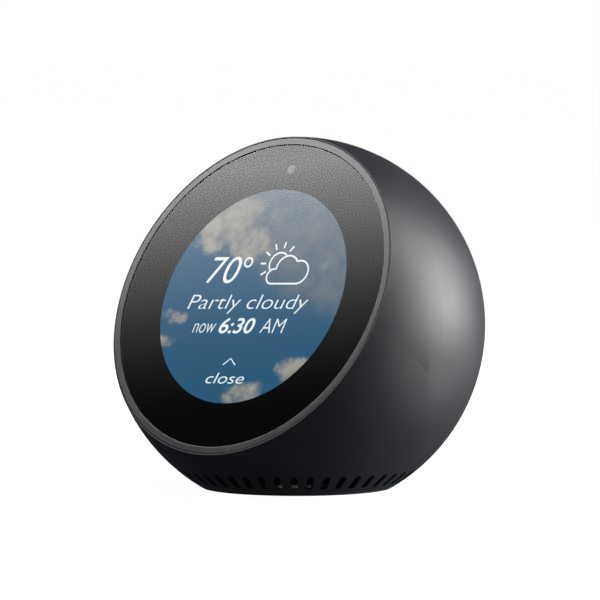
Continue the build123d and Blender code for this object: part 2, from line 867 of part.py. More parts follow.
with BuildPart() as shell_bosses:
    with BuildSketch(face_plane(boss_start)):  # screw posts for the display frame
        with PolarLocations(frame_screw_circle, 4, start_angle=45):
            Circle(2.6)
        with PolarLocations(frame_screw_circle + 5, 4, start_angle=45):
            Rectangle(10, 2.4)
    extrude(amount=-9)
    with BuildSketch(top_plane(guide_end)):  # guide tubes for the button caps
        with Locations(*button_spots):
            Circle(guide_radius)
    extrude(amount=6)
    with BuildSketch(top_plane(switch_board_top)):
        with Locations(*button_screw_spots):
            Circle(2.0)
    extrude(amount=6)
    with BuildSketch(port_plane(body_front + 0.1)):  # thick pad round the sockets
        SlotOverall(28, 11)
    extrude(amount=4)
    with BuildSketch(port_plane(jack_screw_distance - 2.5)):
        with Locations((-jack_screw_x, -7.35), (jack_screw_x, -7.35)):
            Rectangle(4.4, 4.2)
    extrude(amount=11)
    with BuildSketch(Plane.XY.offset(5.0)):  # posts for the speaker box
        with Locations(*ear_spots):
            Circle(2.8)
    extrude(amount=ear_bottom - 5.0)
    with Locations(centre):
        Sphere(ball_radius - 1.0, mode=Mode.INTERSECT)

with BuildPart() as outer_shell:
    with Locations(centre):
        Sphere(ball_radius)
        Sphere(inner_radius, mode=Mode.SUBTRACT)
    add(shell_bosses.part)
    split(bisect_by=face_plane(0), keep=Keep.BOTTOM)
    split(bisect_by=Plane.XY.offset(shell_bottom), keep=Keep.TOP)
    with BuildSketch(Plane.XY):  # opening for the base plate
        Circle(plate_radius + 0.1)
    extrude(amount=plate_top, mode=Mode.SUBTRACT)
    with BuildSketch(face_plane(rebate_depth)):
        Circle(rebate_radius)
    extrude(amount=rebate_depth, mode=Mode.SUBTRACT)
    with BuildSketch(face_plane(boss_start)):
        with PolarLocations(frame_screw_circle, 4, start_angle=45):
            Circle(1.0)
    extrude(amount=-7, mode=Mode.SUBTRACT)
    with BuildSketch(top_plane(guide_end - 1)):
        with Locations(*button_spots):
            Circle(cap_hole_radius)
    extrude(amount=10, mode=Mode.SUBTRACT)
    with BuildSketch(top_plane(switch_board_top)):
        with Locations(*button_screw_spots):
            Circle(0.8)
    extrude(amount=2.4, mode=Mode.SUBTRACT)
    with BuildSketch(top_plane(switch_board_top)):
        with Locations(*mic_spots):
            Circle(0.5)
    extrude(amount=12, mode=Mode.SUBTRACT)
    with BuildSketch(port_plane(recess_floor)):
        SlotOverall(26, 9.4)
    extrude(amount=4, mode=Mode.SUBTRACT)
    with BuildSketch(port_plane(body_front)):
        with Locations((audio_x, 0)):
            Circle(audio_nose_radius + 0.12)
        with Locations((power_x, 0)):
            Circle(power_nose_radius + 0.12)
    extrude(amount=6, mode=Mode.SUBTRACT)
    with BuildSketch(jack_board_plane):
        with Locations((-jack_screw_x, 0), (jack_screw_x, 0)):
            Circle(0.8)
    extrude(amount=-5.0, mode=Mode.SUBTRACT)
    with BuildSketch(Plane.XY.offset(ear_bottom)):
        with Locations(*ear_spots):
            Circle(1.0)
    extrude(amount=-4.0, mode=Mode.SUBTRACT)
    with PolarLocations(0, vent_count):
        add(vent_cutter.part, mode=Mode.SUBTRACT)

# ================================================================ output
pieces = {
    "outer_shell": outer_shell,
    "front_ring": front_ring,
    "cover_glass": cover_glass,
    "glass_adhesive": glass_adhesive,
    "touch_sensor": touch_sensor,
    "lcd_panel": lcd_panel,
    "backlight_unit": backlight_unit,
    "display_frame": display_frame,
    "camera_module": camera_module,
    "camera_lens": camera_lens,
    "camera_gasket": camera_gasket,
    "display_cable": display_cable,
    "camera_cable": camera_cable,
    "frame_screws": frame_screws,
    "main_board": main_board,
    "processor": processor,
    "memory_chips": memory_chips,
    "shield_frame": shield_frame,
    "radio_module": radio_module,
    "thermal_pad": thermal_pad,
    "heat_spreader": heat_spreader,
    "board_screws": board_screws,
    "board_connectors": board_connectors,
    "wifi_antennas": wifi_antennas,
    "antenna_cables": antenna_cables,
    "button_board": button_board,
    "button_switches": button_switches,
    "volume_down_plunger": volume_down_plunger,
    "mic_mute_plunger": mic_mute_plunger,
    "volume_up_plunger": volume_up_plunger,
    "volume_down_button": volume_down_button,
    "mic_mute_button": mic_mute_button,
    "volume_up_button": volume_up_button,
    "microphones": microphones,
    "microphone_boots": microphone_boots,
    "button_board_screws": button_board_screws,
    "button_cable": button_cable,
    "speaker_basket": speaker_basket,
    "speaker_top_plate": speaker_top_plate,
    "speaker_magnet": speaker_magnet,
    "speaker_yoke": speaker_yoke,
    "speaker_cone": speaker_cone,
    "voice_coil": voice_coil,
    "speaker_surround": speaker_surround,
    "speaker_spider": speaker_spider,
    "speaker_gasket": speaker_gasket,
    "speaker_screws": speaker_screws,
    "speaker_enclosure": speaker_enclosure,
    "speaker_baffle": speaker_baffle,
    "enclosure_screws": enclosure_screws,
    "speaker_cable": speaker_cable,
    "jack_board": jack_board,
    "audio_jack": audio_jack,
    "power_jack": power_jack,
    "power_jack_pin": power_jack_pin,
    "jack_board_screws": jack_board_screws,
    "jack_cable": jack_cable,
    "base_plate": base_plate,
    "base_screws": base_screws,
    "rubber_foot": rubber_foot,
}
os.makedirs("parts", exist_ok=True)
for name, piece in pieces.items():
    piece.part.label = name
    export_step(piece.part, f"parts/{name}.step")
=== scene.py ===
"""Looks for the ball-shaped smart display: finishes for every CAD piece, the picture on its round
screen, a studio with a pale floor, and the camera. Metres, in the CAD's own frame."""

import json
from math import atan2, cos, pi, radians, sin, sqrt

import bpy
from mathutils import Matrix, Vector


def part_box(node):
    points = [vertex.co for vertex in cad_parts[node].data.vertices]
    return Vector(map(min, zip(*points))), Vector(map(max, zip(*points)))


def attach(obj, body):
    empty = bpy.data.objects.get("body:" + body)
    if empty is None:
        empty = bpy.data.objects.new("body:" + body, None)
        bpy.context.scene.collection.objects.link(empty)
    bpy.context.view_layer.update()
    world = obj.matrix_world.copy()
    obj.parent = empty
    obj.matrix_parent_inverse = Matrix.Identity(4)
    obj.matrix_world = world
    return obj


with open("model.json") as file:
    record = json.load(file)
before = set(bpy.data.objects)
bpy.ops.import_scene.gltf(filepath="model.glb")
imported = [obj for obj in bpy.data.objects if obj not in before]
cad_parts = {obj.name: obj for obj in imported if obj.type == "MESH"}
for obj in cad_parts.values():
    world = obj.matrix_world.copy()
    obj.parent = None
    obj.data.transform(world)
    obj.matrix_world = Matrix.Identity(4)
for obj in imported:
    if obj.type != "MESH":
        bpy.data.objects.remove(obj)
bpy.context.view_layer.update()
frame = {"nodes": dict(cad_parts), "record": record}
mm = 0.001


# ================================================================ places, all from the frame
def reach(node, direction):
    """How far a CAD node goes along a direction from the ball's centre."""
    return max((v.co - ball_centre).dot(direction) for v in frame["nodes"][node].data.vertices)


shell_low, shell_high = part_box("outer_shell")
ball_radius = (shell_high.x - shell_low.x) / 2
ball_centre = Vector((0, 0, shell_high.z - ball_radius))

glass_faces = frame["nodes"]["cover_glass"].data.polygons
front_pane = max(glass_faces, key=lambda face: face.area if face.normal.y < 0 else 0)
face_normal = front_pane.normal.copy()
face_right = Vector((1, 0, 0))
face_up = face_normal.cross(face_right).normalized()
glass_back = -reach("cover_glass", -face_normal)
glass_radius = reach("cover_glass", face_right)
lcd_front = reach("lcd_panel", face_normal)
lit_share = 0.95  # of the panel's radius
picture_radius = reach("lcd_panel", face_right) * lit_share

lens_low, lens_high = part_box("camera_lens")
lens_up = ((lens_low + lens_high) / 2 - ball_centre).dot(face_up)
lens_radius = (lens_high.x - lens_low.x) / 2


# ================================================================ small tools
def on_face(across, up, distance):
    """A point on the front face: across and up it, at a distance from the ball's centre."""
    return ball_centre + face_right * across + face_up * up + face_normal * distance


def face_matrix(distance):
    """Puts a flat drawing, x across and y up, on the front face at a distance from the centre."""
    place = Matrix((face_right, face_up, face_normal)).transposed().to_4x4()
    place.translation = ball_centre + face_normal * distance
    return place


def circle(centre, radius, start=0.0, turn=2 * pi, steps=128):
    """Points along an arc, in millimetres on the front face."""
    count = max(8, round(steps * abs(turn) / (2 * pi)))
    whole = abs(abs(turn) - 2 * pi) < 1e-6
    last = count if whole else count - 1
    angles = [start + turn * i / last for i in range(count)]
    return [(centre[0] + radius * cos(a), centre[1] + radius * sin(a)) for a in angles]


def crossing(circle_a, circle_b):
    """The upper of the two points where two circles cross. A circle is (x, y, radius)."""
    ax, ay, ar = circle_a
    bx, by, br = circle_b
    gap = sqrt((bx - ax) ** 2 + (by - ay) ** 2)
    along = (gap**2 + ar**2 - br**2) / (2 * gap)
    aside = sqrt(ar**2 - along**2)
    dx, dy = (bx - ax) / gap, (by - ay) / gap
    ends = [(ax + along * dx - s * dy, ay + along * dy + s * dx) for s in (aside, -aside)]
    return max(ends, key=lambda end: end[1])


def angle_to(circle_a, point):
    """The direction of a point from the middle of a circle (x, y, radius)."""
    return atan2(point[1] - circle_a[1], point[0] - circle_a[0])


def flat_piece(name, outlines, thickness, distance, turn=Matrix.Identity(4)):
    """A flat filled drawing with a little thickness. An outline inside another is a hole."""
    drawing = bpy.data.curves.new(name, "CURVE")
    drawing.dimensions = "2D"
    drawing.fill_mode = "BOTH"
    drawing.extrude = thickness / 2
    for outline in outlines:
        line = drawing.splines.new("POLY")
        line.points.add(len(outline) - 1)
        line.use_cyclic_u = True
        for point, (x, y) in zip(line.points, outline):
            point.co = (x * mm, y * mm, 0, 1)
    return to_mesh(name, drawing, face_matrix(distance) @ turn)


def to_mesh(name, drawing, place):
    """Turns a curve or a line of text into a mesh object in its final place."""
    temporary = bpy.data.objects.new(name + ".draft", drawing)
    bpy.context.scene.collection.objects.link(temporary)
    bpy.context.view_layer.update()
    ready = temporary.evaluated_get(bpy.context.evaluated_depsgraph_get())
    mesh = bpy.data.meshes.new_from_object(ready)
    bpy.data.objects.remove(temporary)
    bpy.data.curves.remove(drawing)
    mesh.transform(place)
    mesh.name = name
    piece = bpy.data.objects.new(name, mesh)
    bpy.context.scene.collection.objects.link(piece)
    return piece


def join(name, drawn):
    """Makes one piece of several."""
    bpy.ops.object.select_all(action="DESELECT")
    for piece in drawn:
        piece.select_set(True)
    bpy.context.view_layer.objects.active = drawn[0]
    bpy.ops.object.join()
    drawn[0].name = name
    return drawn[0]


def dress(piece, material):
    """Gives a new piece its material and its body."""
    piece.data.materials.clear()
    piece.data.materials.append(material)
    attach(piece, "housing")


class Shader:
    """A material built node by node."""

    def __init__(self, name):
        self.material = bpy.data.materials.new(name)
        self.material.use_nodes = True
        self.tree = self.material.node_tree
        self.tree.nodes.clear()
        self.output = self.tree.nodes.new("ShaderNodeOutputMaterial")

    def set_input(self, socket, value):
        if isinstance(value, bpy.types.NodeSocket):
            self.tree.links.new(value, socket)
        elif socket.type == "RGBA":
            socket.default_value = (*value[:3], 1)
        else:
            socket.default_value = value

    def node(self, kind, inputs=None, **settings):
        """Adds a node. Inputs are numbers, colours or the outputs of other nodes."""
        made = self.tree.nodes.new("ShaderNode" + kind)
        for key, value in settings.items():
            setattr(made, key, value)
        for key, value in (inputs or {}).items():
            self.set_input(made.inputs[key], value)
        return made

    def place(self):
        """Where the surface is, in the row frame."""
        return self.node("TexCoord").outputs["Object"]

    def math(self, operation, a, b=0.0):
        return self.node("Math", {0: a, 1: b}, operation=operation).outputs[0]

    def along(self, direction, origin=(0, 0, 0)):
        """How far the surface is along a direction from an origin."""
        offset = self.node("VectorMath", {0: self.place(), 1: origin}, operation="SUBTRACT")
        inputs = {0: offset.outputs[0], 1: direction}
        return self.node("VectorMath", inputs, operation="DOT_PRODUCT").outputs["Value"]

    def from_axis(self, origin, across, up):
        """How far the surface is from an axis through an origin, square to two directions."""
        a = self.along(across, origin)
        b = self.along(up, origin)
        squares = self.math("ADD", self.math("MULTIPLY", a, a), self.math("MULTIPLY", b, b))
        return self.math("SQRT", squares)

    def noise(self, scale, detail=3.0, roughness=0.5, stretch=(1, 1, 1)):
        """A cloudy pattern, finer as scale grows, stretched where stretch is under one."""
        mapped = self.node("Mapping", {"Vector": self.place(), "Scale": stretch}).outputs[0]
        inputs = {"Vector": mapped, "Scale": scale, "Detail": detail, "Roughness": roughness}
        return self.node("TexNoise", inputs).outputs[0]

    def span(self, value, low, high, new_low=0.0, new_high=1.0, kind="LINEAR"):
        """Maps a value from one range to another, held at the ends."""
        inputs = {0: value, 1: low, 2: high, 3: new_low, 4: new_high}
        return self.node("MapRange", inputs, interpolation_type=kind).outputs[0]

    def mix(self, share, a, b, blend="MIX"):
        """A colour between two colours."""
        made = self.node("Mix", data_type="RGBA", blend_type=blend)
        self.set_input(made.inputs[0], share)
        self.set_input(made.inputs[6], a)
        self.set_input(made.inputs[7], b)
        return made.outputs[2]

    def bump(self, height, distance, normal=None):
        inputs = {"Height": height, "Distance": distance}
        if normal:
            inputs["Normal"] = normal
        return self.node("Bump", inputs).outputs[0]

    def surface(self, **inputs):
        """Ends the material with a Principled surface."""
        names = {key.replace("_", " "): value for key, value in inputs.items()}
        made = self.node("BsdfPrincipled", names)
        self.tree.links.new(made.outputs[0], self.output.inputs[0])
        return self.material


# ================================================================ finishes
def moulded_plastic(name, colour, roughness, grain=2600, depth=0.012 * mm, shine=0.5, flat=False):
    """Satin plastic with a fine moulded grain and a faint unevenness in its shine.
    flat shades by the faces' own normals, which keeps wide flat faces even."""
    shader = Shader(name)
    normal = shader.node("NewGeometry").outputs["True Normal" if flat else "Normal"]
    fine = shader.noise(grain, 2)
    paler = [channel * 1.3 + 0.0008 for channel in colour]
    return shader.surface(
        Base_Color=shader.mix(fine, colour, paler),
        Roughness=shader.span(shader.noise(60), 0.3, 0.7, roughness - 0.03, roughness + 0.03),
        Specular_IOR_Level=shine,
        Normal=shader.bump(fine, depth, normal),
    )


def metal(name, colour, roughness, stretch=(1, 1, 0.03), grain=900, metallic=1.0):
    """Metal with fine rolling or brushing lines, drawn out where stretch is small."""
    shader = Shader(name)
    lines = shader.noise(grain, 4, stretch=stretch)
    darker = [channel * 0.8 for channel in colour]
    return shader.surface(
        Base_Color=shader.mix(lines, darker, colour),
        Metallic=metallic,
        Roughness=shader.span(lines, 0.3, 0.7, roughness - 0.08, roughness + 0.08),
        Normal=shader.bump(lines, 0.006 * mm),
    )


def soft_rubber(name, colour, roughness=0.75):
    """Matt rubber, slightly mottled."""
    shader = Shader(name)
    mottle = shader.noise(420, 5)
    paler = [channel * 1.7 + 0.002 for channel in colour]
    return shader.surface(
        Base_Color=shader.mix(mottle, colour, paler),
        Roughness=shader.span(mottle, 0.3, 0.7, roughness - 0.07, roughness + 0.07),
        Normal=shader.bump(mottle, 0.03 * mm),
    )


def ribbed_foot():
    """The foot's rubber, with shallow rings round its middle for grip."""
    shader = Shader("foot_rubber")
    ring_pitch = 1.6 * mm
    radius = shader.from_axis((0, 0, 0), (1, 0, 0), (0, 1, 0))
    rings = shader.math("SINE", shader.math("MULTIPLY", radius, 2 * pi / ring_pitch))
    mottle = shader.noise(500, 4)
    height = shader.math("ADD", shader.math("MULTIPLY", rings, 0.5), mottle)
    return shader.surface(
        Base_Color=shader.mix(mottle, (0.012, 0.012, 0.0125), (0.03, 0.03, 0.03)),
        Roughness=shader.span(mottle, 0.3, 0.7, 0.62, 0.8),
        Normal=shader.bump(height, 0.12 * mm),
    )


def polished_glass():
    """Clear glass: a mirror-like shine on its front, and the faintest unevenness in its tint."""
    shader = Shader("cover_glass")
    geometry = shader.node("NewGeometry").outputs
    flat = geometry["True Normal"]
    inside = geometry["Backfacing"]
    tint = shader.mix(shader.noise(18, 2), (0.97, 0.985, 0.98), (0.99, 0.995, 0.995))
    clear = shader.node("BsdfTransparent", {"Color": tint}).outputs[0]
    gloss = {"Color": (1, 1, 1), "Roughness": 0.0, "Normal": flat}
    mirror = shader.node("BsdfGlossy", gloss).outputs[0]
    share = shader.node("Fresnel", {"IOR": 1.5, "Normal": flat}).outputs[0]
    front = shader.node("MixShader", {0: share, 1: clear, 2: mirror}).outputs[0]
    whole = shader.node("MixShader", {0: inside, 1: front, 2: clear}).outputs[0]
    shader.tree.links.new(whole, shader.output.inputs[0])
    return shader.material


def clear_film():
    """Touch film bonded to the glass: clear, with a barely visible grid of fine wires."""
    shader = Shader("touch_film")
    turn = 2 * pi / (2.4 * mm)
    across = shader.math("SINE", shader.math("MULTIPLY", shader.along(face_right), turn))
    up = shader.math("SINE", shader.math("MULTIPLY", shader.along(face_up, ball_centre), turn))
    grid = shader.span(shader.math("MAXIMUM", across, up), 0.97, 1.0)
    tint = shader.mix(grid, (1, 1, 1), (0.98, 0.98, 0.975))
    clear = shader.node("BsdfTransparent", {"Color": tint}).outputs[0]
    shader.tree.links.new(clear, shader.output.inputs[0])
    return shader.material


def printed_ink():
    """The black ink behind the glass: flat, with the very fine dots of screen printing."""
    shader = Shader("printed_ink")
    dots = shader.noise(5000, 1)
    return shader.surface(
        Base_Color=shader.mix(dots, (0.0012, 0.0012, 0.0013), (0.0022, 0.0022, 0.0024)),
        Roughness=shader.span(dots, 0.3, 0.7, 0.8, 0.9),
        Specular_IOR_Level=0.0,
    )


def lens_glass():
    """The camera's lens: dark glass, paler towards its rim, with a soft shine."""
    shader = Shader("lens_glass")
    across = shader.from_axis(on_face(0, lens_up, 0), face_right, face_up)
    rim = shader.span(across, 0.4 * lens_radius, lens_radius, kind="SMOOTHSTEP")
    return shader.surface(
        Base_Color=shader.mix(rim, (0.004, 0.005, 0.008), (0.02, 0.02, 0.023)),
        Roughness=shader.span(rim, 0, 1, 0.3, 0.4),
        Specular_IOR_Level=0.45,
    )


def circuit_board(name, across, up, origin):
    """Green solder mask over a maze of tracks, with tinned pads."""
    shader = Shader(name)
    x = shader.along(across, origin)
    y = shader.along(up, origin)
    flat = shader.node("CombineXYZ", {0: x, 1: y}).outputs[0]
    cell = {"Vector": flat, "Scale": 420, "Randomness": 0.0}
    tracks = shader.node("TexVoronoi", cell, distance="CHEBYCHEV", feature="F1")
    gate = shader.node("TexWhiteNoise", {"Vector": tracks.outputs["Position"]}).outputs["Value"]
    edge = shader.span(tracks.outputs["Distance"], 0.30, 0.36, 1.0, 0.0)
    track = shader.math("MULTIPLY", edge, shader.math("GREATER_THAN", gate, 0.45))
    pad = shader.math("MULTIPLY", edge, shader.math("GREATER_THAN", gate, 0.9))
    mask = shader.mix(track, (0.008, 0.075, 0.035), (0.018, 0.15, 0.07))
    return shader.surface(
        Base_Color=shader.mix(pad, mask, (0.62, 0.60, 0.55)),
        Metallic=shader.math("MULTIPLY", pad, 0.9),
        Roughness=shader.span(shader.noise(300), 0.3, 0.7, 0.22, 0.34),
        Normal=shader.bump(track, 0.03 * mm),
    )


def woven_cloth(name, colour, thread=0.5 * mm):
    """Resin-stiffened cloth: two crossed sets of threads."""
    shader = Shader(name)
    turn = 2 * pi / thread
    warp = shader.math("SINE", shader.math("MULTIPLY", shader.along((1, 0, 0)), turn))
    weft = shader.math("SINE", shader.math("MULTIPLY", shader.along((0, 1, 0)), turn))
    weave = shader.span(shader.math("MULTIPLY", warp, weft), -1, 1)
    dark = [channel * 0.45 for channel in colour]
    return shader.surface(
        Base_Color=shader.mix(weave, dark, colour),
        Roughness=0.8,
        Normal=shader.bump(weave, 0.08 * mm),
    )


def pressed_paper():
    """Cone paper: dark fibres pressed in all directions."""
    shader = Shader("cone_paper")
    fibres = shader.noise(700, 8, 0.75, stretch=(1, 0.25, 1))
    return shader.surface(
        Base_Color=shader.mix(fibres, (0.01, 0.01, 0.011), (0.07, 0.07, 0.075)),
        Roughness=0.85,
        Normal=shader.bump(fibres, 0.1 * mm),
    )


def wound_copper():
    """Enamelled wire wound round the speaker's axis."""
    shader = Shader("wound_copper")
    turns = shader.math("MULTIPLY", shader.along((0, 0, 1)), 2 * pi / (0.16 * mm))
    wire = shader.span(shader.math("SINE", turns), -1, 1)
    return shader.surface(
        Base_Color=shader.mix(wire, (0.16, 0.05, 0.02), (0.75, 0.30, 0.12)),
        Metallic=0.9,
        Roughness=0.28,
        Normal=shader.bump(wire, 0.05 * mm),
    )


def flex_film(name, across):
    """Amber flex cable with copper tracks along it."""
    shader = Shader(name)
    tracks = shader.math("SINE", shader.math("MULTIPLY", shader.along(across), 2 * pi / (0.8 * mm)))
    track = shader.span(tracks, 0.1, 0.3)
    return shader.surface(
        Base_Color=shader.mix(track, (0.50, 0.19, 0.03), (0.62, 0.30, 0.07)),
        Roughness=0.3,
        Metallic=shader.math("MULTIPLY", track, 0.35),
        Normal=shader.bump(track, 0.03 * mm),
    )


def antenna_foil():
    """Copper printed on film, with meandering gaps."""
    shader = Shader("antenna_foil")
    wave = shader.math("SINE", shader.math("MULTIPLY", shader.along((0, 1, 0)), 2 * pi / (5 * mm)))
    shifted = shader.math("ADD", shader.along((0, 0, 1)), shader.math("MULTIPLY", wave, 1.2 * mm))
    lines = shader.math("SINE", shader.math("MULTIPLY", shifted, 2 * pi / (3 * mm)))
    copper = shader.span(lines, -0.3, -0.1)
    return shader.surface(
        Base_Color=shader.mix(copper, (0.02, 0.02, 0.02), (0.72, 0.33, 0.16)),
        Metallic=shader.math("MULTIPLY", copper, 0.9),
        Roughness=0.32,
        Normal=shader.bump(copper, 0.03 * mm),
    )


def ferrite():
    """Sintered magnet: dark, dense and faintly speckled."""
    shader = Shader("ferrite")
    specks = shader.noise(1500, 6)
    return shader.surface(
        Base_Color=shader.mix(specks, (0.025, 0.026, 0.028), (0.09, 0.09, 0.095)),
        Roughness=shader.span(specks, 0.3, 0.7, 0.4, 0.65),
        Normal=shader.bump(specks, 0.03 * mm),
    )


def moulded_package():
    """Epoxy chip body, finely pitted."""
    shader = Shader("chip_package")
    pits = shader.noise(2500, 3)
    return shader.surface(
        Base_Color=shader.mix(pits, (0.012, 0.012, 0.012), (0.035, 0.035, 0.036)),
        Roughness=shader.span(pits, 0.3, 0.7, 0.5, 0.68),
        Normal=shader.bump(pits, 0.02 * mm),
    )


def gap_pad():
    """Soft heat-conducting pad with filler grains."""
    shader = Shader("gap_pad")
    grains = shader.noise(1200, 5)
    return shader.surface(
        Base_Color=shader.mix(grains, (0.10, 0.20, 0.36), (0.22, 0.36, 0.55)),
        Roughness=0.7,
        Normal=shader.bump(grains, 0.05 * mm),
    )


def lit_panel():
    """The display panel's own grey layers, faintly striped by its pixel columns."""
    shader = Shader("display_panel")
    columns = shader.math("SINE", shader.math("MULTIPLY", shader.along((1, 0, 0)), 2 * pi / (0.13 * mm)))
    stripe = shader.span(columns, -1, 1)
    return shader.surface(
        Base_Color=shader.mix(stripe, (0.02, 0.022, 0.026), (0.05, 0.052, 0.06)),
        Roughness=0.15,
    )


def sky_picture():
    """A blue sky with soft clouds, brighter at the top, lit from behind."""
    shader = Shader("sky_picture")
    across = shader.math("DIVIDE", shader.along(face_right, ball_centre), picture_radius)
    up = shader.math("DIVIDE", shader.along(face_up, ball_centre), picture_radius)

    def bank(x, y, width, height, strength):
        """A soft patch where clouds gather, in picture radii."""
        dx = shader.math("DIVIDE", shader.math("SUBTRACT", across, x), width)
        dy = shader.math("DIVIDE", shader.math("SUBTRACT", up, y), height)
        squares = shader.math("ADD", shader.math("MULTIPLY", dx, dx), shader.math("MULTIPLY", dy, dy))
        return shader.span(shader.math("SQRT", squares), 0.0, 1.0, strength, 0.0, "SMOOTHSTEP")

    banks = [
        bank(-0.54, 0.68, 0.80, 0.55, 1.15),
        bank(-0.10, 0.45, 0.45, 0.32, 0.7),
        bank(0.35, 0.95, 0.55, 0.28, 0.6),
        bank(0.70, 0.25, 0.60, 0.40, 0.5),
        bank(0.72, -0.66, 0.50, 0.28, 1.1),
        bank(0.20, -0.94, 0.60, 0.30, 1.0),
        bank(-0.80, -0.22, 0.34, 0.18, 0.9),
        bank(-0.84, -0.46, 0.26, 0.16, 0.8),
    ]
    cover = banks[0]
    for patch in banks[1:]:
        cover = shader.math("ADD", cover, patch)
    billows = shader.noise(85, 10, 0.62)
    lumps = shader.noise(170, 8, 0.65)
    amount = shader.math("ADD", shader.math("MULTIPLY", cover, 0.52), billows)
    cloud = shader.span(amount, 0.76, 0.98, kind="SMOOTHSTEP")
    tilted = shader.math("ADD", up, shader.math("MULTIPLY", across, 0.4))
    ragged = shader.math("ADD", tilted, shader.math("MULTIPLY", billows, 0.6))
    haze = shader.span(ragged, 0.38, 0.72, kind="SMOOTHSTEP")
    streaks = shader.mix(shader.span(lumps, 0.35, 0.62), (0.085, 0.135, 0.19), (0.15, 0.175, 0.21))
    sky = shader.mix(haze, (0.022, 0.102, 0.195), streaks)
    right_side = shader.span(tilted, 0.5, 0.9)
    bright = shader.mix(right_side, (0.36, 0.34, 0.30), (0.20, 0.205, 0.22))
    dull = shader.mix(right_side, (0.17, 0.19, 0.22), (0.12, 0.145, 0.18))
    puff = shader.mix(shader.span(lumps, 0.38, 0.58), dull, bright)
    return shader.surface(
        Base_Color=(0, 0, 0),
        Roughness=0.6,
        Specular_IOR_Level=0.0,
        Emission_Color=shader.mix(cloud, sky, puff),
        Emission_Strength=1.0,
    )


def lit_white():
    """The white of the lines drawn on the screen, dimming a little from top to bottom."""
    shader = Shader("screen_white")
    up = shader.along(face_up, ball_centre)
    shade = shader.span(up, -picture_radius, picture_radius)
    return shader.surface(
        Base_Color=(0, 0, 0),
        Specular_IOR_Level=0.0,
        Emission_Color=shader.mix(shade, (0.88, 0.93, 0.96), (0.95, 0.98, 1.0)),
        Emission_Strength=1.0,
    )


sheet_steel = metal("sheet_steel", (0.56, 0.57, 0.59), 0.32)
slot_finishes = {
    "shell_black": moulded_plastic("shell_plastic", (0.0105, 0.012, 0.0155), 0.48, depth=0.02 * mm),
    "ring_grey": moulded_plastic("ring_plastic", (0.06, 0.061, 0.064), 0.25, shine=0.8, flat=True),
    "glass_clear": polished_glass(),
    "tape_black": soft_rubber("foam_tape", (0.01, 0.01, 0.01)),
    "film_clear": clear_film(),
    "screen": lit_panel(),
    "steel": sheet_steel,
    "aluminium": metal("folded_aluminium", (0.72, 0.73, 0.75), 0.36, (1, 0.03, 1)),
    "inner_plastic": moulded_plastic("inner_plastic", (0.02, 0.02, 0.022), 0.5, 1500, 0.03 * mm),
    "board_green": circuit_board("main_board", face_right, face_up, ball_centre),
    "chip_black": moulded_package(),
    "connector_white": moulded_plastic("connector_nylon", (0.62, 0.60, 0.55), 0.42, 1200),
    "pad_blue": gap_pad(),
    "copper": wound_copper(),
    "flex_orange": flex_film("flex_film", (1, 0, 0)),
    "cable_black": soft_rubber("cable_sheath", (0.014, 0.014, 0.015), 0.5),
    "button_black": moulded_plastic("button_plastic", (0.014, 0.0145, 0.016), 0.42),
    "soft_black": soft_rubber("moulded_rubber", (0.012, 0.012, 0.013)),
    "paper_black": pressed_paper(),
    "spider_tan": woven_cloth("spider_cloth", (0.42, 0.24, 0.09)),
    "magnet": ferrite(),
    "foot_rubber": ribbed_foot(),
}
node_finishes = {
    "base_plate": metal("zinc_plate", (0.50, 0.51, 0.53), 0.45, metallic=0.3),
    "camera_lens": lens_glass(),
    "wifi_antennas": antenna_foil(),
    "speaker_gasket": soft_rubber("gasket_foam", (0.02, 0.02, 0.021), 0.85),
}
for part in frame["record"]["subparts"]:
    node = part["node"]
    obj = frame["nodes"][node]
    obj.data.materials.clear()
    obj.data.materials.append(node_finishes.get(node) or slot_finishes[part["material_slot"]])

# ================================================================ behind the glass
layer = 0.02 * mm
ink_inset = 0.05  # in millimetres, as are all the flat drawings
window_gap = 0.15
screen_edge = circle((0, 0), picture_radius / mm, steps=256)
ink_edge = circle((0, 0), glass_radius / mm - ink_inset, steps=256)
lens_window = circle((0, lens_up / mm), lens_radius / mm + window_gap)

ink = flat_piece("ink_border", [ink_edge, screen_edge, lens_window], layer, glass_back + layer)
dress(ink, printed_ink())

picture = flat_piece("screen_picture", [screen_edge], layer, lcd_front + layer)
dress(picture, sky_picture())


# ================================================================ drawings on the screen
def ribbon(points, width, closed=False):
    """The two edges of a line drawn with a width, as one outline or as an outline and a hole."""
    count = len(points)
    left, right = [], []
    for i, (x, y) in enumerate(points):
        before = points[(i - 1) % count] if closed or i > 0 else (x, y)
        after = points[(i + 1) % count] if closed or i < count - 1 else (x, y)
        dx, dy = after[0] - before[0], after[1] - before[1]
        size = sqrt(dx * dx + dy * dy)
        nx, ny = -dy / size * width / 2, dx / size * width / 2
        left.append((x + nx, y + ny))
        right.append((x - nx, y - ny))
    return [left, right] if closed else [left + right[::-1]]


def line(x1, y1, x2, y2, width):
    """A straight line with a width."""
    return ribbon([(x1, y1), (x2, y2)], width)


